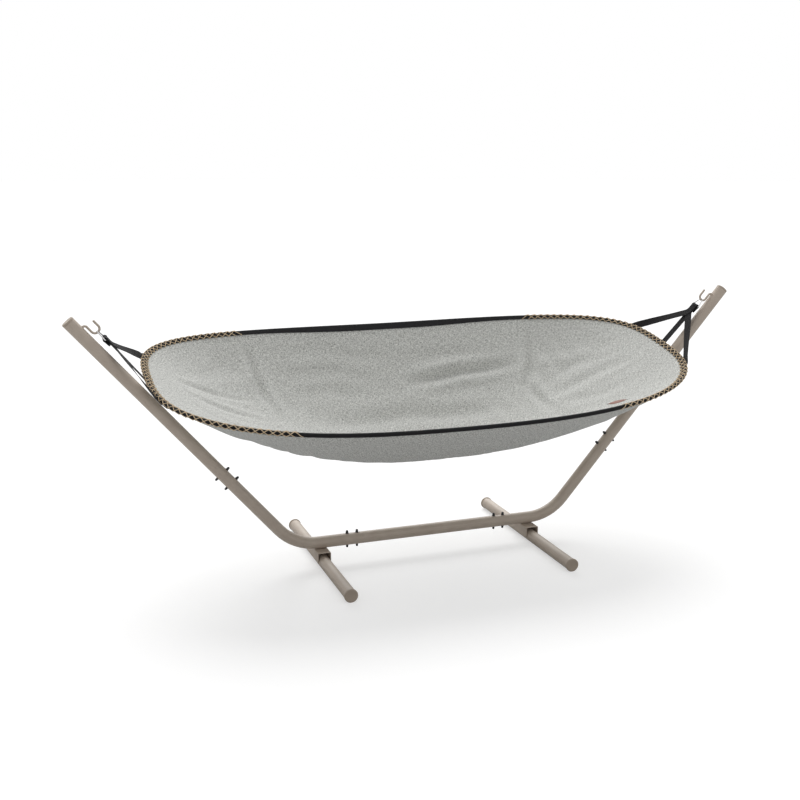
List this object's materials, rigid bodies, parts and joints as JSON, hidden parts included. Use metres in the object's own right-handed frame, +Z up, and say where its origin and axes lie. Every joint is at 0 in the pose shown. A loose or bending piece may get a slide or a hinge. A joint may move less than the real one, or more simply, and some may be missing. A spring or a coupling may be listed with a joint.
{
  "type": "hammock on stand",
  "caption": "Padded garden hammock with a sprung rim, hung by webbing straps and wire rings from the hooks of a bolted round tube stand.",
  "frame": {"origin": "on the floor, under the middle of the whole object's box", "axes": "+X along the hammock, +Y from its near side to its far side, +Z up"},
  "size_m": [3.4816, 1.3462, 1.3117],
  "materials": {
    "taupe_powder_coat": "satin powder coat, taupe",
    "taupe_plastic": "matt moulded plastic, taupe",
    "black_plastic": "matt black plastic caps over steel bolts",
    "zinc_plated_steel": "zinc plated",
    "bright_steel": "bright plated steel wire",
    "black_webbing": "woven polyester webbing",
    "grey_melange_cloth": "light grey melange weave, padded",
    "glass_fibre_rod": "pale glass fibre rod",
    "brown_leather": "reddish brown, bare"
  },
  "bodies": {
    "stand": {"arm_plug_left": "taupe_plastic", "arm_plug_right": "taupe_plastic", "bolt_arm_1_left": "black_plastic", "bolt_arm_1_right": "black_plastic", "bolt_arm_2_left": "black_plastic", "bolt_arm_2_right": "black_plastic", "bolt_centre_1_left": "black_plastic", "bolt_centre_1_right": "black_plastic", "bolt_centre_2_left": "black_plastic", "bolt_centre_2_right": "black_plastic", "cap_nut_arm_1_left": "black_plastic", "cap_nut_arm_1_right": "black_plastic", "cap_nut_arm_2_left": "black_plastic", "cap_nut_arm_2_right": "black_plastic", "cap_nut_centre_1_left": "black_plastic", "cap_nut_centre_1_right": "black_plastic", "cap_nut_centre_2_left": "black_plastic", "cap_nut_centre_2_right": "black_plastic", "centre_tube": "taupe_powder_coat", "coupling_nut_left": "zinc_plated_steel", "coupling_nut_right": "zinc_plated_steel", "foot_bolt_left": "zinc_plated_steel", "foot_bolt_right": "zinc_plated_steel", "foot_cap_far_left": "taupe_plastic", "foot_cap_far_right": "taupe_plastic", "foot_cap_near_left": "taupe_plastic", "foot_cap_near_right": "taupe_plastic", "foot_tube_left": "taupe_powder_coat", "foot_tube_right": "taupe_powder_coat", "hook_left": "taupe_powder_coat", "hook_right": "taupe_powder_coat", "lower_tube_left": "taupe_powder_coat", "lower_tube_right": "taupe_powder_coat", "saddle_left": "taupe_powder_coat", "saddle_right": "taupe_powder_coat", "upper_arm_left": "taupe_powder_coat", "upper_arm_right": "taupe_powder_coat"},
    "hammock": {"bed": "grey_melange_cloth", "leather_patch": "brown_leather", "rim_binding": "black_webbing", "rim_rod_far": "glass_fibre_rod", "rim_rod_near": "glass_fibre_rod", "ring_left": "bright_steel", "ring_right": "bright_steel", "rod_sleeve_left": "bright_steel", "rod_sleeve_right": "bright_steel", "strap_far_left": "black_webbing", "strap_far_right": "black_webbing", "strap_middle_left": "black_webbing", "strap_middle_right": "black_webbing", "strap_near_left": "black_webbing", "strap_near_right": "black_webbing"}
  },
  "joints": [
    {"name": "hammock_swing", "type": "hinge", "parent": "stand", "child": "hammock", "pos_m": [0, -0.062, 1.2374], "axis": [1, 0, 0], "range_deg": [-32, 8]}
  ]
}
